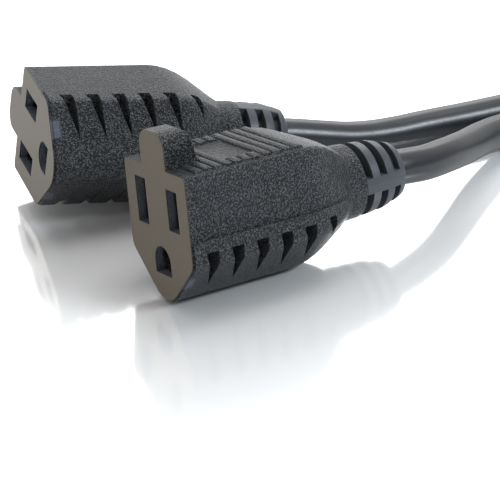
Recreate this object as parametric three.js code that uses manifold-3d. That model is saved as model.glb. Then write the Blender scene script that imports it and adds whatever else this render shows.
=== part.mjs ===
// Power cord splitter: two moulded receptacles on round cords that share one moulded plug.
// Millimetres, +Z up, standing on z = 0 with the origin under the middle of the two receptacles.
import * as THREE from 'three';
import { mergeVertices } from 'three/addons/utils/BufferGeometryUtils.js';
import { ConvexGeometry } from 'three/addons/geometries/ConvexGeometry.js';
import Module from 'manifold-3d';

const wasm = await Module();
wasm.setup();

// Sizes that the blade pattern fixes
const BLADE_PITCH = 12.7; // hot blade to neutral blade
const GROUND_DROP = 11.9; // blade line to ground pin
const BLADE_THICK = 1.52;
const BLADE_WIDE = 6.35;
const BLADE_LONG = 15.9; // outside the plug's face
const PIN_DIA = 4.75;
const PIN_LONG = 19.1;
const GAP = 0.3; // air between two pieces that touch in the real part

// Receptacle outline, seen on its face. Heights are above the blade line.
const HALF_WIDE = 12.4;
const SHOULDER = 8.1;
const BEND = -10.85; // where the flanks turn into the lower chamfers
const FOOT = -20.2;
const FOOT_HALF = 2.4; // half of the flat that the foot's rounding takes up
const SHOULDER_R = 1.1;
const BEND_R = 2.6;
const FOOT_R = 5.9;
const TAB_HALF = 4.95;
const TAB_TOP = 15.7;
const TAB_DEEP = 7.4;

// Receptacle along its length, from the face
const STRAIGHT = 28; // then the body narrows towards the relief
const TAPER_END = 43.5;
const TAPER_R = 7;
const RELIEF_AXIS = -5.2;
const RELIEF_FROM = 37;
const RELIEF_END = 57.4;
const RELIEF_R0 = 8.3;
const RELIEF_R1 = 6.5;
const WINDOW_FROM = 45.7; // windows along the relief
const WINDOWS = 3;
const WINDOW_PITCH = 3.87;
const WINDOW_WIDE = 1.85;
const WINDOW_RIB = 3.3; // side rib left between upper and lower windows
const SLEEVE_R = 4.95; // sleeve under the windows

// Grip and label faces of the receptacle
const GRIP_TOP = -5.64;
const GRIP_RAISE = 0.35;
const GRIP_FROM = 0.6;
const NOTCH_FIRST = 6.17;
const NOTCH_PITCH = 5.86;
const NOTCHES = 6;
const NOTCH_WIDE = 2.9;
const NOTCH_TOP = -8.2;
const NOTCH_TIP = [6.1, -17]; // sideways, up
const RIBS = 11;
const RIB_FIRST = 4.3;
const RIB_PITCH = 2.35;
const RIB_WIDE = 2.1;
const RIB_HIGH = 0.7;
const RIB_HALF = 11.2;
const PANEL = [4, 5, 6]; // ribs that stop at the bare label panel
const PANEL_HALF = 7;

// Openings and pockets in the receptacle
const WALL = 1.8;
const SLOT_WIDE = 4.2;
const SLOT_NEUTRAL = 9.8;
const SLOT_HOT = 8.7;
const ARCH_R = 3.2;
const ARCH_FLAT = 2.85; // centre of the arch to its flat side
const POCKET_DEEP = 18;
const POCKET_WIDE = 4.9;
const POCKET_HIGH = 10.6;
const POCKET_SPARE = 1; // a contact's spring ends this far before the pocket's end
const CRIMP_FROM = POCKET_DEEP - POCKET_SPARE;
const CRIMP_R = 1.85;

// Conductors and cords
const CORD_DIA = 7.8;
const CORE_DIA = 2.6; // one insulated conductor
const COPPER_DIA = 1.5;
const LAY_R = 1.76; // conductor centres around the cord's axis
const STRIP_X = 25; // the insulation starts here in a receptacle
const CRIMP_TO = STRIP_X - 0.5;
const JACKET_X = 41.3; // the jacket starts here in a receptacle

// Plug
const PLUG_HALF = 12.6;
const PLUG_TOP = 7.6;
const PLUG_BEND = -9.5;
const PLUG_FOOT = -17.4;
const PLUG_STRAIGHT = 24;
const PLUG_END = 34;
const PLUG_RELIEF_END = 58;
const PLUG_CORDS = 4.15; // each cord's axis to the plug's middle
const PLUG_JACKET_X = 39;
const PLUG_STRIP_X = 14.5;
const PLUG_WINDOW_FROM = 41.5;
const PLUG_WINDOWS = 4;
const CRIMP_STEP = 1.6; // a conductor's centre to the middle of a double crimp

// Where the pieces lie: yaw, pitch and roll in degrees, then the place of the blade line
const FRONT_POSE = { yaw: 0, pitch: 1.43, roll: -11.92, at: [0, 0] };
const REAR_POSE = { yaw: -12, pitch: 7.71, roll: -88.19, at: [-2.71, 52] };
const PLUG_POSE = { yaw: 187.5, pitch: 0, roll: 0, at: [402.1, 25.8] };

// Routes on the floor, from the reliefs of the receptacles to the relief of the plug
const FRONT_ROUTE = [
  [66.5, 0.2, 12.9], [74, 2.9, 11.5], [83, 7.6, 9.2], [92.1, 12.7, 7.1], [101.9, 16.6, 5.2], [111.5, 17.9, 4.2],
  [127, 16, 4], [148.9, 13, 4], [179, 9.1, 4], [214.5, 6.3, 4], [250, 5.7, 4], [275.2, 6.7, 4], [303, 9.1, 5.3]];
const REAR_ROUTE = [
  [61, 33.2, 7], [67.4, 32, 5.5], [73.9, 31.2, 4.5], [80.6, 30.5, 4.1], [88.5, 29.8, 4], [98, 28.4, 4],
  [110, 27, 4], [128, 24.8, 4], [150, 21.8, 4], [180, 18, 4], [215, 15.2, 4], [250, 14.6, 4], [274.5, 15.6, 4],
  [302, 18, 5.3]];

// One look for each material
const LOOKS = {
  moulding: { color: 0x2b2e33, roughness: 0.6, metalness: 0 },
  jacket: { color: 0x26292d, roughness: 0.4, metalness: 0 },
  brass: { color: 0xb08d4f, roughness: 0.35, metalness: 1 },
  nickel: { color: 0xb9bab8, roughness: 0.25, metalness: 1 },
  copper: { color: 0xb87448, roughness: 0.4, metalness: 1 },
  hot: { color: 0x16171a, roughness: 0.5, metalness: 0 },
  neutral: { color: 0xd8d6cf, roughness: 0.5, metalness: 0 },
  ground: { color: 0x2d6b3c, roughness: 0.5, metalness: 0 },
};

// Solids: three.js makes each shape and manifold joins or cuts them
function solid(geometry) {
  const bare = new THREE.BufferGeometry();
  bare.setAttribute('position', geometry.getAttribute('position').clone());
  if (geometry.index) bare.setIndex(geometry.index.clone());
  const whole = mergeVertices(bare, 1e-5);
  return new wasm.Manifold(new wasm.Mesh({
    numProp: 3,
    vertProperties: new Float32Array(whole.getAttribute('position').array),
    triVerts: new Uint32Array(whole.index.array),
  }));
}

function geometryOf(body) {
  const mesh = body.getMesh();
  const geometry = new THREE.BufferGeometry();
  geometry.setAttribute('position', new THREE.BufferAttribute(new Float32Array(mesh.vertProperties), 3));
  geometry.setIndex(new THREE.BufferAttribute(new Uint32Array(mesh.triVerts), 1));
  return geometry;
}

const joined = (bodies) => bodies.reduce((sum, b) => sum.add(b));
const without = (body, cuts) => cuts.reduce((left, c) => left.subtract(c), body);

// A box from its lowest and highest corners
function box(lo, hi) {
  const size = hi.map((h, i) => h - lo[i]);
  const g = new THREE.BoxGeometry(...size);
  g.translate(...lo.map((l, i) => l + size[i] / 2));
  return solid(g);
}

// A flat outline pushed along one axis: x takes (y, z) points, y takes (x, z) points
const AXES = {
  x: [new THREE.Vector3(0, 1, 0), new THREE.Vector3(0, 0, 1), new THREE.Vector3(1, 0, 0)],
  y: [new THREE.Vector3(1, 0, 0), new THREE.Vector3(0, 0, 1), new THREE.Vector3(0, -1, 0)],
};
function prism(points, axis, from, to) {
  const shape = new THREE.Shape(points.map(([u, v]) => new THREE.Vector2(u, v)));
  const g = new THREE.ExtrudeGeometry(shape, { depth: to - from, bevelEnabled: false });
  g.translate(0, 0, axis === 'x' ? from : -to);
  g.applyMatrix4(new THREE.Matrix4().makeBasis(...AXES[axis]));
  return solid(g);
}

// A round bar along x, centred on (y, z)
function bar(y, z, from, to, radius, sides = 20) {
  const g = new THREE.CylinderGeometry(radius, radius, to - from, sides);
  g.rotateZ(-Math.PI / 2);
  g.translate((from + to) / 2, y, z);
  return solid(g);
}

// A profile of (x, radius) points turned about an axis along x at (y, z)
function turned(profile, y, z, sides) {
  const points = [[profile[0][0], 0], ...profile, [profile.at(-1)[0], 0]];
  const g = new THREE.LatheGeometry(points.map(([x, r]) => new THREE.Vector2(r, x)), sides);
  g.rotateZ(-Math.PI / 2);
  g.translate(0, y, z);
  return solid(g);
}

// A corner polygon with its corners rounded in a few steps each
function rounded(corners, radii, steps) {
  return corners.flatMap((corner, i) => {
    const p = new THREE.Vector2(...corner);
    const back = new THREE.Vector2(...corners.at(i - 1)).sub(p).normalize();
    const on = new THREE.Vector2(...corners[(i + 1) % corners.length]).sub(p).normalize();
    const half = Math.acos(THREE.MathUtils.clamp(back.dot(on), -1, 1)) / 2;
    const reach = radii[i] / Math.tan(half);
    const centre = back.clone().add(on).normalize().multiplyScalar(radii[i] / Math.sin(half)).add(p);
    const a = p.clone().addScaledVector(back, reach).sub(centre);
    const b = p.clone().addScaledVector(on, reach).sub(centre);
    const sweep = Math.sign(a.cross(b)) * Math.acos(THREE.MathUtils.clamp(a.dot(b) / a.lengthSq(), -1, 1));
    return Array.from({ length: steps[i] + 1 }, (_, k) => {
      const q = a.clone().rotateAround(new THREE.Vector2(), (sweep * k) / steps[i]).add(centre);
      return [q.x, q.y];
    });
  });
}

// Long edges of an outline are split, so that a loft can round them
function split(outline, longest) {
  return outline.flatMap(([y, z], i) => {
    const [y2, z2] = outline[(i + 1) % outline.length];
    const n = Math.max(1, Math.ceil(Math.hypot(y2 - y, z2 - z) / longest));
    return Array.from({ length: n }, (_, k) => [y + ((y2 - y) * k) / n, z + ((z2 - z) * k) / n]);
  });
}

// Sections with the same number of (y, z) points, each at its own x, closed at both ends
function loft(sections) {
  const n = sections[0].ring.length;
  const points = sections.flatMap(({ x, ring }) => ring.map(([y, z]) => [x, y, z]));
  const faces = [];
  for (let s = 0; s + 1 < sections.length; s++) {
    for (let i = 0; i < n; i++) {
      const [a, b] = [s * n + i, s * n + ((i + 1) % n)];
      faces.push([a, b + n, b], [a, a + n, b + n]);
    }
  }
  const last = (sections.length - 1) * n;
  for (let i = 1; i + 1 < n; i++) faces.push([0, i, i + 1], [last, last + i + 1, last + i]);
  const around = sections[0].ring.reduce((sum, [y, z], i, ring) => {
    const [y2, z2] = ring[(i + 1) % n];
    return sum + y * z2 - y2 * z;
  }, 0);
  const g = new THREE.BufferGeometry();
  g.setAttribute('position', new THREE.BufferAttribute(new Float32Array(points.flat()), 3));
  g.setIndex((around > 0 ? faces.map(([a, b, c]) => [a, c, b]) : faces).flat());
  return solid(g);
}

// A straight body that narrows from an outline to a circle around (0, axis)
function tapered(outline, from, straight, end, endRadius, axis, steps) {
  const narrowed = (s) => outline.map(([y, z]) => {
    const r = Math.hypot(y, z - axis);
    const k = (r + (endRadius - r) * s ** 2) / r;
    return [y * k, axis + (z - axis) * k];
  });
  const sections = [{ x: from, ring: outline }];
  for (let i = 0; i <= steps; i++) {
    sections.push({ x: straight + ((end - straight) * i) / steps, ring: narrowed(i / steps) });
  }
  return loft(sections);
}

// A soft round bar along a route of hand-chosen points
function tube(points, radius, steps, sides) {
  const path = new THREE.CatmullRomCurve3(points.map((p) => new THREE.Vector3(...p)), false, 'centripetal');
  const section = new THREE.Shape(Array.from({ length: sides }, (_, i) => {
    const a = (2 * Math.PI * i) / sides;
    return new THREE.Vector2(radius * Math.cos(a), radius * Math.sin(a));
  }));
  return solid(new THREE.ExtrudeGeometry(section, { steps, extrudePath: path, bevelEnabled: false }));
}

// Receptacle outline on its face, grown outwards by the raised grip
function receptacleOutline(grow) {
  const side = HALF_WIDE + grow;
  return split(rounded(
    [[side, SHOULDER], [-side, SHOULDER], [-side, BEND], [-FOOT_HALF, FOOT - grow],
      [FOOT_HALF, FOOT - grow], [side, BEND]],
    [SHOULDER_R, SHOULDER_R, BEND_R, FOOT_R, FOOT_R, BEND_R], [3, 3, 4, 4, 4, 4]), 6.5);
}

// The tab that stands up from the front edge, with a rounded head and a flared root
function tab() {
  const low = SHOULDER - 3;
  const front = rounded(
    [[TAB_HALF, low], [TAB_HALF, TAB_TOP], [-TAB_HALF, TAB_TOP], [-TAB_HALF, low]],
    [0.1, 3.4, 3.4, 0.1], [1, 5, 5, 1]);
  const side = rounded(
    [[0, low], [0, TAB_TOP + 0.2], [TAB_DEEP - 0.9, TAB_TOP + 0.2], [TAB_DEEP, SHOULDER],
      [TAB_DEEP + 4, SHOULDER - 0.2], [TAB_DEEP + 4, low]],
    [0.05, 0.05, 3, 3, 0.05, 0.05], [1, 1, 5, 4, 1, 1]);
  return prism(front, 'x', 0, TAB_DEEP + 4).intersect(prism(side, 'y', -TAB_HALF, TAB_HALF));
}

// One notch of the grip: a steep rear wall, a ramp in front of it and a shelf at the top
function notch(index, hand) {
  const last = index === NOTCHES - 1;
  const x = NOTCH_FIRST + index * NOTCH_PITCH;
  const wide = last ? NOTCH_WIDE * 0.75 : NOTCH_WIDE;
  const [tipY, tipZ] = last ? [8, -13.6] : NOTCH_TIP;
  const [topY, topZ] = [HALF_WIDE + GRIP_RAISE - (last ? 1.05 : 0), NOTCH_TOP + (last ? 0.4 : 0)];
  const corners = [
    [x - wide, topY, topZ], [x, topY, topZ], [x - wide, topY + 6, topZ - 3], [x, topY + 6, topZ - 3],
    [x + 0.24, tipY, tipZ], [x + 0.24, tipY + 6, tipZ - 6], [x - 0.7, topY - (last ? 2.2 : 3.1), topZ - 0.5]];
  return solid(new ConvexGeometry(corners.map(([a, y, z]) => new THREE.Vector3(a, hand * y, z))));
}

// Transverse ribs on the label face, left out over the panel
function ribs() {
  const out = [];
  const [half, top] = [RIB_WIDE / 2, SHOULDER + RIB_HIGH];
  for (let i = 0; i < RIBS; i++) {
    const x = RIB_FIRST + i * RIB_PITCH;
    const low = SHOULDER - 1;
    const crest = [[-1, 0], [-0.82, 0.6], [-0.45, 0.92], [0, 1], [0.45, 0.92], [0.82, 0.6], [1, 0]]
      .map(([u, v]) => [x + half * u, SHOULDER + RIB_HIGH * v]);
    const bump = [[x - half, low], ...crest, [x + half, low]];
    const spans = PANEL.includes(i)
      ? [[-RIB_HALF, -PANEL_HALF], [PANEL_HALF, RIB_HALF]]
      : [[-RIB_HALF, RIB_HALF]];
    for (const [lo, hi] of spans) {
      const ends = [[hi + 0.5, low], [hi - 0.3, top - 0.25], [hi - 1.1, top + 0.01], [lo + 1.1, top + 0.01],
        [lo + 0.3, top - 0.25], [lo - 0.5, low]];
      out.push(prism(bump, 'y', lo - 1, hi + 1).intersect(prism(ends, 'x', x - 2, x + 2)));
    }
  }
  return joined(out);
}

// Each conductor's route ends with its place around the cord's axis, where it runs straight in
function intoCord(wires, jacketX, cordY) {
  return Object.fromEntries(Object.entries(wires).map(([name, points]) => {
    const [y, z] = points.at(-1);
    const ends = [2, 0].map((back) => [jacketX - GAP - back, cordY(name) + y, RELIEF_AXIS + z]);
    return [name, [...points.slice(0, -1), ...ends]];
  }));
}
const SIDE = BLADE_PITCH / 2;
const [LAY_Y, LAY_Z] = [LAY_R * Math.cos(Math.PI / 6), LAY_R / 2];
const RECEPTACLE_WIRES = intoCord({
  hot: [[STRIP_X, -SIDE, 0], [29.5, -5.75, -0.8], [35, -3.2, -3.2], [-LAY_Y, LAY_Z]],
  neutral: [[STRIP_X, SIDE, 0], [29.5, 5.75, -0.8], [35, 3.2, -3.2], [LAY_Y, LAY_Z]],
  ground: [[STRIP_X, 0, -GROUND_DROP], [29.5, 0, -11.4], [35, 0, -8.6], [0, -LAY_R]],
}, JACKET_X, () => 0);

// The moulding of a receptacle: body, raised grip, tab, ribs and strain relief in one piece
function receptacleHousing() {
  const body = tapered(receptacleOutline(0), 0, STRAIGHT, TAPER_END, TAPER_R, RELIEF_AXIS, 7);
  const grip = tapered(receptacleOutline(GRIP_RAISE), GRIP_FROM, STRAIGHT, TAPER_END, TAPER_R, RELIEF_AXIS, 7)
    .intersect(box([0, -20, -30], [TAPER_END - 4, 20, GRIP_TOP]));
  const relief = turned([
    [RELIEF_FROM, RELIEF_R0 - 1.6], [RELIEF_FROM + 0.5, RELIEF_R0 - 0.6], [RELIEF_FROM + 1.6, RELIEF_R0],
    [44.5, RELIEF_R0 - 0.15], [52, (RELIEF_R0 + RELIEF_R1) / 2 + 0.1], [RELIEF_END - 1.8, RELIEF_R1],
    [RELIEF_END - 0.6, RELIEF_R1 - 0.45], [RELIEF_END, RELIEF_R1 - 1.3]], 0, RELIEF_AXIS, 32);
  const cuts = [];
  for (let i = 0; i < NOTCHES; i++) cuts.push(notch(i, 1), notch(i, -1));
  for (const [y, tall] of [[-SIDE, SLOT_HOT], [SIDE, SLOT_NEUTRAL]]) {
    cuts.push(box([-1, y - SLOT_WIDE / 2, -tall / 2], [WALL + 1, y + SLOT_WIDE / 2, tall / 2]));
    cuts.push(box([WALL, y - POCKET_WIDE / 2, -POCKET_HIGH / 2], [POCKET_DEEP, y + POCKET_WIDE / 2, POCKET_HIGH / 2]));
    cuts.push(bar(y, 0, CRIMP_FROM, STRIP_X + 0.2, CRIMP_R + GAP, 16));
  }
  const arch = [[-ARCH_R, -GROUND_DROP - ARCH_FLAT], [ARCH_R, -GROUND_DROP - ARCH_FLAT]];
  for (let k = 0; k <= 10; k++) {
    const a = (Math.PI * k) / 10;
    arch.push([ARCH_R * Math.cos(a), -GROUND_DROP + ARCH_R * Math.sin(a)]);
  }
  cuts.push(prism(arch, 'x', -1, WALL + 1));
  cuts.push(bar(0, -GROUND_DROP, WALL, POCKET_DEEP, ARCH_R + 0.3));
  cuts.push(bar(0, -GROUND_DROP, CRIMP_FROM, STRIP_X + 0.2, CRIMP_R + GAP, 16));
  for (const points of Object.values(RECEPTACLE_WIRES)) {
    cuts.push(tube([[STRIP_X - 0.4, ...points[0].slice(1)], ...points], CORE_DIA / 2 + GAP, 12, 10));
  }
  cuts.push(bar(0, RELIEF_AXIS, JACKET_X - 1, RELIEF_END + 1, CORD_DIA / 2 + GAP));
  for (let i = 0; i < WINDOWS; i++) {
    const x = WINDOW_FROM + i * WINDOW_PITCH;
    cuts.push(bar(0, RELIEF_AXIS, x, x + WINDOW_WIDE, 12)
      .subtract(bar(0, RELIEF_AXIS, x - 1, x + 3, SLEEVE_R))
      .subtract(box([x - 1, -20, RELIEF_AXIS - WINDOW_RIB / 2], [x + 3, 20, RELIEF_AXIS + WINDOW_RIB / 2])));
  }
  return without(joined([body, grip, relief, tab(), ribs()]), cuts);
}

// A crimp barrel, open along its top, with room for the copper
function crimp(y, z, from, to) {
  return bar(y, z, from, to, CRIMP_R, 14)
    .subtract(bar(y, z, from + 1, to + 1, COPPER_DIA / 2 + GAP, 12))
    .subtract(box([from + 1, y - 0.3, z], [to + 1, y + 0.3, z + 3]));
}

// Blade contact: two leaves that spring together on the blade, in one piece with the crimp
function bladeContact(y) {
  const leaf = [[4.6, 1.7], [6.4, 1.0], [8.4, 0.62], [10.4, 1.0], [13, 1.3],
    [CRIMP_FROM - 0.8, 1.3]];
  const side = (hand, add) => leaf.map(([x, w]) => [x, y + hand * (w + add)]);
  const fork = [...side(1, 0.55), [CRIMP_FROM, y + 1.85], [CRIMP_FROM, y - 1.85],
    ...side(-1, 0.55).reverse(), ...side(-1, 0), ...side(1, 0).reverse()];
  const shape = new THREE.Shape(fork.map(([x, w]) => new THREE.Vector2(x, w)));
  const high = BLADE_WIDE + 0.8;
  const g = new THREE.ExtrudeGeometry(shape, { depth: high, bevelEnabled: false });
  g.translate(0, 0, -high / 2);
  return solid(g).add(crimp(y, 0, CRIMP_FROM - 0.3, CRIMP_TO));
}

// Ground contact: a rolled sleeve for the round pin, slit along its top
function groundContact() {
  const r = PIN_DIA / 2 + 0.12;
  return bar(0, -GROUND_DROP, 4.6, CRIMP_FROM, r + 0.5)
    .subtract(bar(0, -GROUND_DROP, 4, CRIMP_FROM - 0.8, r))
    .subtract(box([4, -0.5, -GROUND_DROP], [CRIMP_FROM - 1.5, 0.5, -GROUND_DROP + 4]))
    .add(crimp(0, -GROUND_DROP, CRIMP_FROM - 0.3, CRIMP_TO));
}

function receptacle() {
  const parts = {
    housing: [receptacleHousing(), 'moulding'],
    contact_hot: [bladeContact(-SIDE), 'brass'],
    contact_neutral: [bladeContact(SIDE), 'brass'],
    contact_ground: [groundContact(), 'brass'],
  };
  for (const [pole, points] of Object.entries(RECEPTACLE_WIRES)) {
    const [, y, z] = points[0];
    parts[`copper_${pole}`] = [bar(y, z, CRIMP_FROM + 1.2, STRIP_X - GAP, COPPER_DIA / 2, 8), 'copper'];
    parts[`core_${pole}`] = [tube(points, CORE_DIA / 2, 10, 8), pole];
  }
  return parts;
}

// In the plug the conductors of both cords meet in the crimps of one set of blades
const PLUG_WIRES = intoCord({
  a_hot: [[PLUG_STRIP_X, -SIDE, -CRIMP_STEP], [22, -7.2, -3.2], [30, -7, -5.4], [-LAY_Y, -LAY_Z]],
  a_neutral: [[PLUG_STRIP_X, SIDE, CRIMP_STEP], [18.5, 5, 2.4], [24.5, 0, 2.6], [30, -3, 0.4], [0, LAY_R]],
  a_ground: [[PLUG_STRIP_X, -CRIMP_STEP, -GROUND_DROP], [22, -1.7, -11.3], [30, -2.4, -8.6], [LAY_Y, -LAY_Z]],
  b_hot: [[PLUG_STRIP_X, -SIDE, CRIMP_STEP], [18.5, -4.8, 0.9], [24.5, 0, -1.4], [30, 3.2, -2.4], [0, LAY_R]],
  b_neutral: [[PLUG_STRIP_X, SIDE, -CRIMP_STEP], [22, 7.2, -3.2], [30, 7, -5.4], [LAY_Y, -LAY_Z]],
  b_ground: [[PLUG_STRIP_X, CRIMP_STEP, -GROUND_DROP], [22, 1.7, -11.3], [30, 2.4, -8.6], [-LAY_Y, -LAY_Z]],
}, PLUG_JACKET_X, (name) => (name[0] === 'a' ? -PLUG_CORDS : PLUG_CORDS));

// A crimp that holds two conductors side by side, along z or y
function doubleCrimp(y, z, along) {
  const [hy, hz] = along === 'z' ? [1.7, 3.3] : [3.3, 1.7];
  const block = box([5, y - hy, z - hz], [13.5, y + hy, z + hz]);
  return without(block, [-CRIMP_STEP, CRIMP_STEP].map((d) => (
    along === 'z'
      ? bar(y, z + d, 7, 15, COPPER_DIA / 2 + GAP, 12)
      : bar(y + d, z, 7, 15, COPPER_DIA / 2 + GAP, 12))));
}

function blade(y) {
  const half = BLADE_WIDE / 2;
  const plate = prism([[6, -half], [6, half], [1.6 - BLADE_LONG, half], [-BLADE_LONG, half - 1.4],
    [-BLADE_LONG, 1.4 - half], [1.6 - BLADE_LONG, -half]], 'y', y - BLADE_THICK / 2, y + BLADE_THICK / 2);
  const hole = new THREE.CylinderGeometry(1.5, 1.5, 4, 16);
  hole.translate(4.4 - BLADE_LONG, y, 0);
  return plate.subtract(solid(hole)).add(doubleCrimp(y, 0, 'z'));
}

function groundPin() {
  const r = PIN_DIA / 2;
  return turned([[-PIN_LONG, r - 1.5], [0.5 - PIN_LONG, r - 0.6], [1.8 - PIN_LONG, r], [6, r]], 0, -GROUND_DROP, 20)
    .add(doubleCrimp(0, -GROUND_DROP, 'y'));
}

// The moulding of the plug, with one relief around both cords
function plugHousing() {
  const outline = split(rounded(
    [[PLUG_HALF, PLUG_TOP], [-PLUG_HALF, PLUG_TOP], [-PLUG_HALF, PLUG_BEND], [-5.6, PLUG_FOOT],
      [5.6, PLUG_FOOT], [PLUG_HALF, PLUG_BEND]], [3.2, 3.2, 3, 3, 3, 3], [4, 4, 3, 3, 3, 3]), 6);
  const body = tapered(outline, 0, PLUG_STRAIGHT, PLUG_END, 8.4, RELIEF_AXIS, 6);
  const [wide, high] = [PLUG_CORDS + CORD_DIA / 2 + 2.3, CORD_DIA / 2 + 2.3];
  const r = high - 0.1;
  const oval = rounded([[wide, high], [-wide, high], [-wide, -high], [wide, -high]], [r, r, r, r], [5, 5, 5, 5]);
  const ovalAt = (k) => oval.map(([y, z]) => [y * k, RELIEF_AXIS + z * k]);
  const relief = loft([
    { x: PLUG_STRAIGHT, ring: ovalAt(0.8) }, { x: PLUG_STRAIGHT + 4, ring: ovalAt(1.05) },
    { x: PLUG_END + 4, ring: ovalAt(1.03) }, { x: PLUG_RELIEF_END - 1.5, ring: ovalAt(0.9) },
    { x: PLUG_RELIEF_END, ring: ovalAt(0.82) }]);
  const cuts = [];
  for (const y of [-SIDE, SIDE]) {
    const [w, h] = [BLADE_THICK / 2 + GAP, BLADE_WIDE / 2 + GAP];
    cuts.push(box([-1, y - w, -h], [6, y + w, h]));
    cuts.push(box([5 - GAP, y - 1.7 - GAP, -3.3 - GAP], [13.5 + GAP, y + 1.7 + GAP, 3.3 + GAP]));
  }
  cuts.push(bar(0, -GROUND_DROP, -1, 6, PIN_DIA / 2 + GAP));
  cuts.push(box([5 - GAP, -3.3 - GAP, -GROUND_DROP - 1.7 - GAP], [13.5 + GAP, 3.3 + GAP, 1.7 + GAP - GROUND_DROP]));
  for (const points of Object.values(PLUG_WIRES)) {
    cuts.push(tube([[12.8, ...points[0].slice(1)], ...points], CORE_DIA / 2 + GAP, 14, 10));
  }
  for (const y of [-PLUG_CORDS, PLUG_CORDS]) {
    cuts.push(bar(y, RELIEF_AXIS, PLUG_JACKET_X - 0.6, PLUG_RELIEF_END + 1, CORD_DIA / 2 + GAP));
  }
  for (let i = 0; i < PLUG_WINDOWS; i++) {
    const x = PLUG_WINDOW_FROM + i * WINDOW_PITCH;
    cuts.push(prism(ovalAt(1.3), 'x', x, x + WINDOW_WIDE)
      .subtract(prism(ovalAt(0.8), 'x', x - 1, x + 3))
      .subtract(box([x - 1, -20, RELIEF_AXIS - WINDOW_RIB / 2], [x + 3, 20, RELIEF_AXIS + WINDOW_RIB / 2])));
  }
  return without(body.add(relief), cuts);
}

function plug() {
  const parts = {
    housing: [plugHousing(), 'moulding'],
    blade_hot: [blade(-SIDE), 'nickel'],
    blade_neutral: [blade(SIDE), 'nickel'],
    ground_pin: [groundPin(), 'nickel'],
  };
  for (const [name, points] of Object.entries(PLUG_WIRES)) {
    const [, y, z] = points[0];
    parts[`copper_${name}`] = [bar(y, z, 8, PLUG_STRIP_X - GAP, COPPER_DIA / 2, 8), 'copper'];
    parts[`core_${name}`] = [tube(points, CORE_DIA / 2, 12, 8), name.slice(2)];
  }
  return parts;
}

// A set's place: rolled about its own axis, pitched, yawed, and set down on the floor
function placed({ yaw, pitch, roll, at }, parts) {
  const rad = THREE.MathUtils.degToRad;
  const turn = new THREE.Matrix4().makeRotationZ(rad(yaw))
    .multiply(new THREE.Matrix4().makeRotationY(rad(pitch)))
    .multiply(new THREE.Matrix4().makeRotationX(rad(roll)));
  const shapes = Object.entries(parts).map(([name, [body, look]]) => (
    { name, look, geometry: geometryOf(body).applyMatrix4(turn) }));
  shapes[0].geometry.computeBoundingBox();
  const move = new THREE.Matrix4().makeTranslation(...at, -shapes[0].geometry.boundingBox.min.z);
  for (const { geometry } of shapes) geometry.applyMatrix4(move);
  return { shapes, pose: move.multiply(turn) };
}

const sets = {
  front: placed(FRONT_POSE, receptacle()),
  rear: placed(REAR_POSE, receptacle()),
  plug: placed(PLUG_POSE, plug()),
};

// A cord runs from its jacket's end in a receptacle, over the floor, to its place in the plug
function cord(set, points, side) {
  const on = (owner, x, y) => new THREE.Vector3(x, y, RELIEF_AXIS).applyMatrix4(sets[owner].pose).toArray();
  return tube([
    ...[JACKET_X, 50, RELIEF_END + 1].map((x) => on(set, x, 0)), ...points,
    ...[PLUG_RELIEF_END + 8, 52, PLUG_JACKET_X].map((x) => on('plug', x, side * PLUG_CORDS)),
  ], CORD_DIA / 2, 46, 10);
}

// The finished splitter, moved so that the receptacles stand over the origin
const splitter = new THREE.Group();
function add(name, geometry, look) {
  const mesh = new THREE.Mesh(geometry, new THREE.MeshStandardMaterial({ name: look, ...LOOKS[look] }));
  mesh.name = name;
  splitter.add(mesh);
}
for (const [owner, { shapes }] of Object.entries(sets)) {
  for (const { name, geometry, look } of shapes) add(`${owner}_${name}`, geometry, look);
}
const stand = new THREE.Box3();
for (const mesh of splitter.children) {
  if (!mesh.name.startsWith('plug')) stand.union(new THREE.Box3().setFromObject(mesh));
}
add('front_cord', geometryOf(cord('front', FRONT_ROUTE, 1)), 'jacket');
add('rear_cord', geometryOf(cord('rear', REAR_ROUTE, -1)), 'jacket');
const middle = stand.getCenter(new THREE.Vector3());
for (const mesh of splitter.children) mesh.geometry.translate(-middle.x, -middle.y, -stand.min.z);

export default splitter;
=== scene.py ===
"""Looks of the power cord splitter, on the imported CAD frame. Metres, +Z up."""
import math

import bmesh
import bpy
import numpy as np
from mathutils import Euler, Matrix, Vector


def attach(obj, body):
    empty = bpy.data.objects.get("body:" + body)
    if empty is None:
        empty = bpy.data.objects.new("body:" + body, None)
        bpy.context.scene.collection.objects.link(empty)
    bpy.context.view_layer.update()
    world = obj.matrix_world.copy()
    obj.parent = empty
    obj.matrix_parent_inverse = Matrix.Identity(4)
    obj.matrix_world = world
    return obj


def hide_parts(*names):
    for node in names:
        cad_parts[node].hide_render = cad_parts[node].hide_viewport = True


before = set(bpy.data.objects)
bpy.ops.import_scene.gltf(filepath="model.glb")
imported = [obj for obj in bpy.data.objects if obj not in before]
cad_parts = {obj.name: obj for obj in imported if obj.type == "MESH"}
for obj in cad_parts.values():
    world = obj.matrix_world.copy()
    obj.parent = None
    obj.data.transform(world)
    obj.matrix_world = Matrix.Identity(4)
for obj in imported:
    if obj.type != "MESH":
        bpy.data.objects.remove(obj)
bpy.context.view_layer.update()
MM = 0.001

# Camera. It stands where the photograph was taken from: the pattern of the two slots and the
# ground opening gives its place, and the long lens keeps the two receptacles almost parallel.
camera = bpy.data.objects.new("camera", bpy.data.cameras.new("camera"))
bpy.context.scene.collection.objects.link(camera)
bpy.context.scene.camera = camera
camera.data.sensor_width = 36
camera.data.lens = 170.23
camera.data.clip_start = 0.02
ahead = Vector((0.4627, 0.7457, -0.4794)).normalized()
right = ahead.cross(Vector((0.2542, 0.4065, 0.8776))).normalized()
turn = Matrix((right, right.cross(ahead), -ahead)).transposed()
camera.matrix_world = Matrix.Translation(Vector((-232.89, -396.94, 242.5)) * MM) @ turn.to_4x4()

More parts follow.
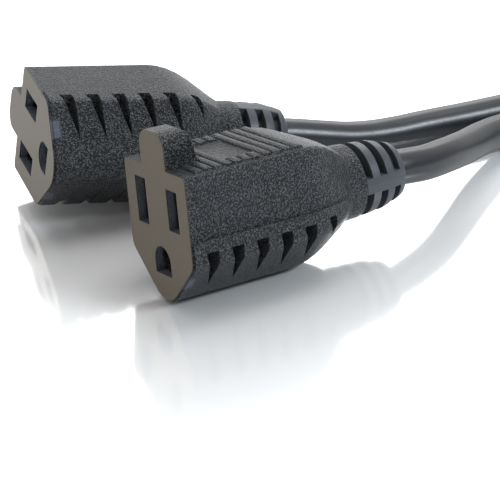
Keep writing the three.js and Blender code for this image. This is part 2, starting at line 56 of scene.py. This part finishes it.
# Places. Each moulding lies as in part.mjs: turned by roll, pitch and yaw, then moved.
POSES = {
    "front": ((-11.92, 1.43, 0), (-25.0926, -26.4435, 20.9393)),
    "rear": ((-88.19, 7.71, -12), (-27.8026, 25.5565, 16.8605)),
    "plug": ((0, 0, 187.5), (377.0074, -0.6435, 17.4)),
}
SHIFT = Vector((-25.0926, -26.4435, 0))


def place(owner):
    """Matrix from a moulding's own axes to the row frame, both in mm."""
    angles, at = POSES[owner]
    turned = Euler([math.radians(a) for a in angles], "XYZ").to_matrix().to_4x4()
    return Matrix.Translation(at) @ turned


# Cords. Both follow the routes of part.mjs, from the jacket's end inside the receptacle, over
# the floor and into the plug, on a centripetal Catmull-Rom curve.
ROUTES = {
    "front": [
        (66.5, 0.2, 12.9), (74, 2.9, 11.5), (83, 7.6, 9.2), (92.1, 12.7, 7.1), (101.9, 16.6, 5.2),
        (111.5, 17.9, 4.2), (127, 16, 4), (148.9, 13, 4), (179, 9.1, 4), (214.5, 6.3, 4),
        (250, 5.7, 4), (275.2, 6.7, 4), (303, 9.1, 5.3)],
    "rear": [
        (61, 33.2, 7), (67.4, 32, 5.5), (73.9, 31.2, 4.5), (80.6, 30.5, 4.1), (88.5, 29.8, 4),
        (98, 28.4, 4), (110, 27, 4), (128, 24.8, 4), (150, 21.8, 4), (180, 18, 4), (215, 15.2, 4),
        (250, 14.6, 4), (274.5, 15.6, 4), (302, 18, 5.3)],
}
CORD_R = 3.9
AXIS = -5.2  # height of a strain relief's axis, from the blade line
RELIEF_END = 57.4  # where a cord leaves its receptacle
BESIDE = {"front": 4.15, "rear": -4.15}  # each cord's place in the plug, sideways
STEP = 1.6  # length of the tube's pieces


def along(points, step):
    """Points on the centripetal Catmull-Rom curve through points, about step apart (mm)."""
    p = np.array([2 * points[0] - points[1], *points, 2 * points[-1] - points[-2]])
    out = []
    for a, b, c, d in zip(p, p[1:], p[2:], p[3:]):
        t1 = np.linalg.norm(b - a) ** 0.5
        t2 = t1 + np.linalg.norm(c - b) ** 0.5
        t3 = t2 + np.linalg.norm(d - c) ** 0.5
        n = max(2, int(np.linalg.norm(c - b) / step))
        t = (t1 + (t2 - t1) * np.arange(n) / n)[:, None]
        ab = (t1 - t) / t1 * a + t / t1 * b
        bc = (t2 - t) / (t2 - t1) * b + (t - t1) / (t2 - t1) * c
        cd = (t3 - t) / (t3 - t2) * c + (t - t2) / (t3 - t2) * d
        abc = (t2 - t) / t2 * ab + t / t2 * bc
        bcd = (t3 - t) / (t3 - t1) * bc + (t - t1) / (t3 - t1) * cd
        out.append((t2 - t) / (t2 - t1) * abc + (t - t1) / (t2 - t1) * bcd)
    return np.concatenate([*out, p[-2:-1]])


def tube(name, line, radius, sides=36):
    """Mesh tube along line (mm): ring k, side j is line + r (cos a n + sin a b), closed ends."""
    tangent = np.gradient(line, axis=0)
    tangent /= np.linalg.norm(tangent, axis=1)[:, None]
    flat = np.cross(np.array([0, 0, 1.0]), tangent)
    flat /= np.linalg.norm(flat, axis=1)[:, None]
    high = np.cross(tangent, flat)
    a = 2 * np.pi * np.arange(sides) / sides
    ring = np.cos(a)[None, :, None] * flat[:, None] + np.sin(a)[None, :, None] * high[:, None]
    verts = (line[:, None] + radius * ring).reshape(-1, 3) * MM
    k, j = np.meshgrid(np.arange(len(line) - 1), np.arange(sides), indexing="ij")
    n = (j + 1) % sides
    quads = np.stack([k * sides + j, k * sides + n, (k + 1) * sides + n, (k + 1) * sides + j], -1)
    faces = quads.reshape(-1, 4).tolist()
    last = (len(line) - 1) * sides
    faces += [list(range(sides))[::-1], list(range(last, last + sides))]
    mesh = bpy.data.meshes.new(name)
    mesh.from_pydata(verts.tolist(), [], faces)
    mesh.shade_smooth()
    piece = bpy.data.objects.new(name, mesh)
    bpy.context.scene.collection.objects.link(piece)
    return piece


cords = {}
for owner, route in ROUTES.items():
    start = [place(owner) @ Vector((x, 0, AXIS)) for x in (41.3, 50, RELIEF_END + 1)]
    end = [place("plug") @ Vector((x, BESIDE[owner], AXIS)) for x in (66, 52, 39)]
    middle = [Vector(p) + SHIFT for p in route]
    line = along(np.array([tuple(p) for p in start + middle + end]), STEP)
    cord = tube(f"{owner}_jacket", line, CORD_R)
    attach(cord, "root")
    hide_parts(f"{owner}_cord")
    cords[owner] = cord


# Shader tools. A material is written as nested calls, each of which adds one node.
def add(tree, kind, inputs=(), **settings):
    """One shader node; inputs are (name or index, value or socket) pairs."""
    node = tree.nodes.new(kind)
    for key, value in settings.items():
        setattr(node, key, value)
    for key, value in inputs:
        if isinstance(value, bpy.types.NodeSocket):
            tree.links.new(value, node.inputs[key])
        else:
            node.inputs[key].default_value = value
    return node


def maths(tree, operation, a, b=0.0, c=0.0):
    """One sum on values or sockets."""
    node = add(tree, "ShaderNodeMath", [(0, a), (1, b), (2, c)], operation=operation)
    return node.outputs[0]


def between(tree, value, lo, hi, to_lo=0.0, to_hi=1.0):
    """Smooth step of value from lo to hi."""
    node = add(tree, "ShaderNodeMapRange", [
        ("Value", value), ("From Min", lo), ("From Max", hi), ("To Min", to_lo), ("To Max", to_hi),
    ], interpolation_type="SMOOTHSTEP")
    return node.outputs[0]


def blend(tree, factor, a, b):
    """Colour from a at factor 0 to b at factor 1."""
    node = add(tree, "ShaderNodeMix", [("Factor", factor), (6, a), (7, b)], data_type="RGBA")
    return node.outputs[2]


def group(name, inputs, outputs):
    """An empty node group with the named sockets, and its input and output nodes."""
    tree = bpy.data.node_groups.new(name, "ShaderNodeTree")
    for label, kind in inputs:
        tree.interface.new_socket(label, in_out="INPUT", socket_type=kind)
    for label, kind in outputs:
        tree.interface.new_socket(label, in_out="OUTPUT", socket_type=kind)
    return tree, tree.nodes.new("NodeGroupInput"), tree.nodes.new("NodeGroupOutput")


def material(name):
    """A new material with its node tree and its Principled BSDF."""
    made = bpy.data.materials.new(name)
    made.use_nodes = True
    tree = made.node_tree
    return made, tree, tree.nodes["Principled BSDF"]


# Moulding look. The soft plastic has a fine leather grain on the body; its crests are painted pale
# and its hollows near black, a painted highlight and shade of light glinting on the grain. The
# socket face and the rings of the strain relief came off polished steel, so they are smooth. The
# face is painted a lighter warm brown, painted light from the left, and the walls just inside the
# openings are painted lighter and bluer, painted light falling into them. Positions are in the
# moulding's own axes, in mm.
GRAIN_DEEP = 0.00042  # metres
POLISH_DEEP = 0.000006
SEAM_DEEP = 0.00007
grain, g_in, g_out = group(
    "moulded_grain", [("Local", "NodeSocketVector")],
    [("Color", "NodeSocketColor"), ("Roughness", "NodeSocketFloat"),
     ("Normal", "NodeSocketVector")])
local = g_in.outputs["Local"]
xyz = add(grain, "ShaderNodeSeparateXYZ", [(0, local)]).outputs
wander = add(grain, "ShaderNodeTexNoise", [("Vector", local), ("Scale", 1.3), ("Detail", 2.0)])
shaken = add(grain, "ShaderNodeVectorMath", [(0, wander.outputs["Color"]), (1, (0.5, 0.5, 0.5))],
             operation="MULTIPLY").outputs[0]
moved = add(grain, "ShaderNodeVectorMath", [(0, local), (1, shaken)], operation="ADD").outputs[0]
cells = add(grain, "ShaderNodeTexVoronoi", [("Vector", moved), ("Scale", 2.5), ("Randomness", 1.0)])
small = add(grain, "ShaderNodeTexVoronoi", [("Vector", moved), ("Scale", 3.8), ("Randomness", 1.0)])
fine = add(grain, "ShaderNodeTexNoise", [("Vector", local), ("Scale", 6.5), ("Detail", 2.0)])
broad = add(grain, "ShaderNodeTexNoise", [("Vector", local), ("Scale", 0.09), ("Detail", 3.0)])
pebble = maths(grain, "MULTIPLY_ADD", small.outputs["Distance"], -0.45,
               maths(grain, "MULTIPLY", cells.outputs["Distance"], -0.75))
pebble = maths(grain, "MULTIPLY_ADD", fine.outputs["Fac"], 0.35, pebble)
face = between(grain, xyz[0], 0.06, 0.2, 1.0, 0.0)
rings = between(grain, xyz[0], 45.4, 46.0)
sleek = maths(grain, "MAXIMUM", face, rings)
rough = maths(grain, "SUBTRACT", 1.0, sleek)
deep = maths(grain, "MULTIPLY_ADD", rough, GRAIN_DEEP, POLISH_DEEP)
height = maths(grain, "MULTIPLY", pebble, deep)
from_axis = maths(grain, "ABSOLUTE", maths(grain, "SUBTRACT", xyz[2], AXIS))
seam = between(grain, from_axis, 0.04, 0.16, 1.0, 0.0)
height = maths(grain, "MULTIPLY_ADD", maths(grain, "MULTIPLY", seam, rings), SEAM_DEEP, height)
edge = add(grain, "ShaderNodeBevel", [("Radius", 0.0003)], samples=6)
bump = add(grain, "ShaderNodeBump", [
    ("Height", height), ("Distance", 1.0), ("Strength", 1.0), ("Normal", edge.outputs[0])])
tone = between(grain, broad.outputs["Fac"], 0.35, 0.65)
body = blend(grain, tone, (0.001, 0.0015, 0.002, 1), (0.002, 0.003, 0.004, 1))
# Painted highlight and shade: the grain's crests are painted pale and the hollows between them near
# black, in place of light glinting on the grain.
painted_glint = between(grain, pebble, -0.47, -0.2)
body = blend(grain, painted_glint, body, (0.088, 0.1, 0.113, 1))
body = blend(grain, rings, body, (0.050, 0.056, 0.064, 1))
depth = between(grain, maths(grain, "ABSOLUTE", xyz[1]), 9.3, 9.6, 1.0, 0.0)
depth = maths(grain, "MULTIPLY", depth, between(grain, xyz[2], 6.5, 7.0, 1.0, 0.0))
depth = maths(grain, "MULTIPLY", depth, between(grain, xyz[2], -16.8, -16.3))
# Painted light: the walls just inside the openings, to about 2 mm deep, are painted lighter and
# bluer, as lit by the light falling in; deeper they stay dark.
painted_wall_light = maths(grain, "MULTIPLY", depth, between(grain, xyz[0], 1.6, 2.6, 1.0, 0.0))
body = blend(grain, painted_wall_light, body, (0.085, 0.1, 0.13, 1))
# Painted light: the socket face is painted a lighter warm brown, in place of the warm light falling
# on it from the left.
body = blend(grain, face, body, (0.070, 0.054, 0.032, 1))
grain.links.new(body, g_out.inputs["Color"])
shine = maths(grain, "MULTIPLY_ADD", rough, -0.1, 0.34)
shine = maths(grain, "MULTIPLY_ADD", fine.outputs["Fac"], 0.1, shine)
grain.links.new(shine, g_out.inputs["Roughness"])
grain.links.new(bump.outputs[0], g_out.inputs["Normal"])


def local_mm(tree, owner):
    """Object coordinates in the moulding's own axes, in mm."""
    angles, at = POSES[owner]
    scaled = add(tree, "ShaderNodeVectorMath", [
        (0, add(tree, "ShaderNodeTexCoord").outputs["Object"]), (1, (1000.0, 1000.0, 1000.0)),
    ], operation="MULTIPLY").outputs[0]
    return add(tree, "ShaderNodeMapping", [
        ("Vector", scaled), ("Location", at), ("Rotation", [math.radians(a) for a in angles]),
    ], vector_type="TEXTURE").outputs[0]


# Mouldings. Each is its CAD solid with the same faces, merged and shaded smoothly up to the
# real edges, so that rounded corners show no facets.
def moulding(owner):
    """The housing's solid with its facets joined, in the moulding look."""
    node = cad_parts[f"{owner}_housing"]
    mesh = node.data.copy()
    mesh.name = f"{owner}_moulding"
    bm = bmesh.new()
    bm.from_mesh(mesh)
    bmesh.ops.remove_doubles(bm, verts=bm.verts, dist=2e-6)
    bmesh.ops.dissolve_limit(bm, angle_limit=math.radians(0.6), verts=bm.verts, edges=bm.edges)
    bmesh.ops.triangulate(bm, faces=bm.faces)
    bm.to_mesh(mesh)
    bm.free()
    if "custom_normal" in mesh.attributes:
        mesh.attributes.remove(mesh.attributes["custom_normal"])
    mesh.shade_smooth()
    mesh.set_sharp_from_angle(angle=math.radians(34))
    piece = bpy.data.objects.new(f"{owner}_moulding", mesh)
    bpy.context.scene.collection.objects.link(piece)
    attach(piece, "root")
    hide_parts(node.name)
    made, tree, surface = material(f"{owner}_moulded_plastic")
    looks = add(tree, "ShaderNodeGroup", node_tree=grain)
    tree.links.new(local_mm(tree, owner), looks.inputs["Local"])
    for out, into in (("Color", "Base Color"), ("Roughness", "Roughness"), ("Normal", "Normal")):
        tree.links.new(looks.outputs[out], surface.inputs[into])
    surface.inputs["Specular IOR Level"].default_value = 0.28
    mesh.materials.clear()
    mesh.materials.append(made)
    return piece


for owner in POSES:
    moulding(owner)

# Cord jackets: smooth black plastic with a satin gloss and a very slight waviness from the
# twisted conductors inside.
for owner, cord in cords.items():
    made, tree, surface = material(f"{owner}_jacket_plastic")
    where = add(tree, "ShaderNodeTexCoord").outputs["Object"]
    wave = add(tree, "ShaderNodeTexNoise", [("Vector", where), ("Scale", 140.0), ("Detail", 2.0)])
    dust = add(tree, "ShaderNodeTexNoise", [("Vector", where), ("Scale", 2600.0), ("Detail", 2.0)])
    high = maths(tree, "MULTIPLY_ADD", wave.outputs["Fac"], 0.00006,
                 maths(tree, "MULTIPLY", dust.outputs["Fac"], 0.000008))
    tree.links.new(add(tree, "ShaderNodeBump", [("Height", high), ("Distance", 1.0)]).outputs[0],
                   surface.inputs["Normal"])
    black = blend(tree, wave.outputs["Fac"], (0.010, 0.012, 0.015, 1), (0.014, 0.016, 0.020, 1))
    tree.links.new(black, surface.inputs["Base Color"])
    satin = between(tree, dust.outputs["Fac"], 0.3, 0.7, 0.3, 0.36)
    tree.links.new(satin, surface.inputs["Roughness"])
    cord.data.materials.append(made)


# Metal, conductors and copper: the CAD solids stay and get their own finish.
def stamped(name, dark, light, smooth, scale):
    """Bare or plated metal strip, with fine rolling marks along X and a little stain."""
    made, tree, surface = material(name)
    where = add(tree, "ShaderNodeTexCoord").outputs["Object"]
    drawn = add(tree, "ShaderNodeMapping", [("Vector", where), ("Scale", (120.0, scale, scale))])
    marks = add(tree, "ShaderNodeTexNoise", [
        ("Vector", drawn.outputs[0]), ("Scale", 1.0), ("Detail", 3.0)])
    stain = add(tree, "ShaderNodeTexNoise", [("Vector", where), ("Scale", 300.0), ("Detail", 3.0)])
    tree.links.new(blend(tree, stain.outputs["Fac"], dark, light), surface.inputs["Base Color"])
    tree.links.new(between(tree, marks.outputs["Fac"], 0.3, 0.7, smooth, smooth + 0.14),
                   surface.inputs["Roughness"])
    high = maths(tree, "MULTIPLY", marks.outputs["Fac"], 0.000012)
    edge = add(tree, "ShaderNodeBevel", [("Radius", 0.0002)], samples=4)
    bumped = add(tree, "ShaderNodeBump", [
        ("Height", high), ("Distance", 1.0), ("Normal", edge.outputs[0])])
    tree.links.new(bumped.outputs[0], surface.inputs["Normal"])
    surface.inputs["Metallic"].default_value = 1.0
    return made


def insulation(name, dark, light):
    """Matt plastic over one conductor, slightly cloudy."""
    made, tree, surface = material(name)
    where = add(tree, "ShaderNodeTexCoord").outputs["Object"]
    cloud = add(tree, "ShaderNodeTexNoise", [("Vector", where), ("Scale", 700.0), ("Detail", 2.0)])
    tree.links.new(blend(tree, cloud.outputs["Fac"], dark, light), surface.inputs["Base Color"])
    matt = between(tree, cloud.outputs["Fac"], 0.3, 0.7, 0.4, 0.52)
    tree.links.new(matt, surface.inputs["Roughness"])
    return made


FINISHES = {
    "contact": stamped("brass_strip", (0.56, 0.39, 0.17, 1), (0.66, 0.49, 0.24, 1), 0.24, 2400.0),
    "nickel": stamped("nickel_plate", (0.60, 0.59, 0.56, 1), (0.70, 0.69, 0.66, 1), 0.16, 3000.0),
    "copper": stamped("bare_copper", (0.60, 0.28, 0.15, 1), (0.72, 0.38, 0.22, 1), 0.3, 4200.0),
    "hot": insulation("black_insulation", (0.012, 0.012, 0.013, 1), (0.02, 0.02, 0.021, 1)),
    "neutral": insulation("white_insulation", (0.66, 0.65, 0.6, 1), (0.76, 0.75, 0.71, 1)),
    "ground": insulation("green_insulation", (0.02, 0.15, 0.045, 1), (0.03, 0.2, 0.06, 1)),
}
for name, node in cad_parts.items():
    kind = name.split("_")[1]
    if kind in ("housing", "cord"):
        continue
    plated = {"blade": "nickel", "ground": "nickel"}
    key = name.split("_")[-1] if kind == "core" else plated.get(kind, kind)
    node.data.materials.clear()
    node.data.materials.append(FINISHES[key])

# Floor. It is a white gloss sheet that mirrors the object near its foot. The mirror image fades
# with the distance from the two receptacles, and the sheet is white everywhere else.
MIRROR_REACH = 60  # mm from the receptacles to where the mirror image has mostly gone
steps = np.concatenate([[-4, -2, -1, -0.6], np.arange(-0.3, 0.301, 0.006), [0.6, 1, 2, 4]])
gx, gy = np.meshgrid(steps, steps, indexing="ij")
flat = np.stack([gx, gy, 0 * gx], -1).reshape(-1, 3)


def away(a, b):
    """Distance in mm of the floor's points from the segment a to b."""
    a, d = np.array(a, float), np.subtract(b, a).astype(float)
    p = flat[:, :2] / MM
    t = np.clip(((p - a) @ d) / (d @ d), 0, 1)[:, None]
    return np.linalg.norm(p - a - t * d, axis=1)


n = len(steps)
i, j = np.meshgrid(np.arange(n - 1), np.arange(n - 1), indexing="ij")
quads = np.stack([i * n + j, (i + 1) * n + j, (i + 1) * n + j + 1, i * n + j + 1], -1)
mesh = bpy.data.meshes.new("floor")
mesh.from_pydata(flat.tolist(), [], quads.reshape(-1, 4).tolist())
near = np.minimum(away((-26, -33), (34, -31)), away((-33, 6), (28, 8)))
mirror = mesh.attributes.new("mirror", "FLOAT", "POINT")
mirror.data.foreach_set("value", np.exp(-((near / MIRROR_REACH) ** 1.3)))
floor = bpy.data.objects.new("floor", mesh)
bpy.context.scene.collection.objects.link(floor)
made, tree, surface = material("white_gloss_floor")
tree.nodes.remove(surface)
paper = add(tree, "ShaderNodeBsdfDiffuse", [("Color", (0.93, 0.935, 0.94, 1))])
gloss = add(tree, "ShaderNodeBsdfAnisotropic", [("Color", (1, 1, 1, 1)), ("Roughness", 0.1)])
nearness = add(tree, "ShaderNodeAttribute", attribute_name="mirror").outputs["Fac"]
share = maths(tree, "MULTIPLY_ADD", nearness, 0.5, 0.05)
sheet = add(tree, "ShaderNodeMixShader", [(0, share), (1, paper.outputs[0]), (2, gloss.outputs[0])])
tree.links.new(sheet.outputs[0], tree.nodes["Material Output"].inputs["Surface"])
floor.data.materials.append(made)

# Light: a white studio. It is bright behind and above the object and dim in front, so the
# sides that face the camera stay dark. Soft boxes stand behind, overhead, at the right front,
# where the light glints on the cords and the chamfers, and weak and warm at the left.
world = bpy.data.worlds.new("room")
bpy.context.scene.world = world
world.use_nodes = True
tree = world.node_tree
toward = add(tree, "ShaderNodeTexCoord").outputs["Generated"]
toward = add(tree, "ShaderNodeSeparateXYZ", [(0, toward)]).outputs
behind = maths(tree, "MULTIPLY_ADD", toward["Y"], 1.0, maths(tree, "MULTIPLY", toward["Z"], 0.7))
room = between(tree, behind, -0.5, 0.7, 0.12, 1.0)
path = add(tree, "ShaderNodeLightPath").outputs
strength = maths(tree, "MAXIMUM", path["Is Camera Ray"], room)
tree.nodes["Background"].inputs["Color"].default_value = (1, 1, 1, 1)
tree.links.new(strength, tree.nodes["Background"].inputs["Strength"])


def soft_box(name, at, size, power, color=(1, 1, 1)):
    """A rectangular lamp that points at the object; metres and watts."""
    lamp = bpy.data.lights.new(name, "AREA")
    lamp.shape, lamp.size, lamp.size_y = "RECTANGLE", size[0], size[1]
    lamp.energy, lamp.color = power, color
    box = bpy.data.objects.new(name, lamp)
    bpy.context.scene.collection.objects.link(box)
    box.location = at
    box.rotation_euler = (-Vector(at)).to_track_quat("-Z", "Y").to_euler()


soft_box("back", (0.5, 0.9, 0.6), (1.1, 0.6), 5.5)
soft_box("overhead", (0.2, 0.1, 0.9), (0.5, 0.4), 3.0)
soft_box("glint", (0.45, -0.62, 0.62), (0.3, 0.24), 6.5, (0.86, 0.94, 1))
soft_box("left", (-0.8, -0.1, 0.35), (0.5, 0.5), 0.6, (1, 0.9, 0.78))

bpy.context.scene.view_settings.view_transform = "Standard"
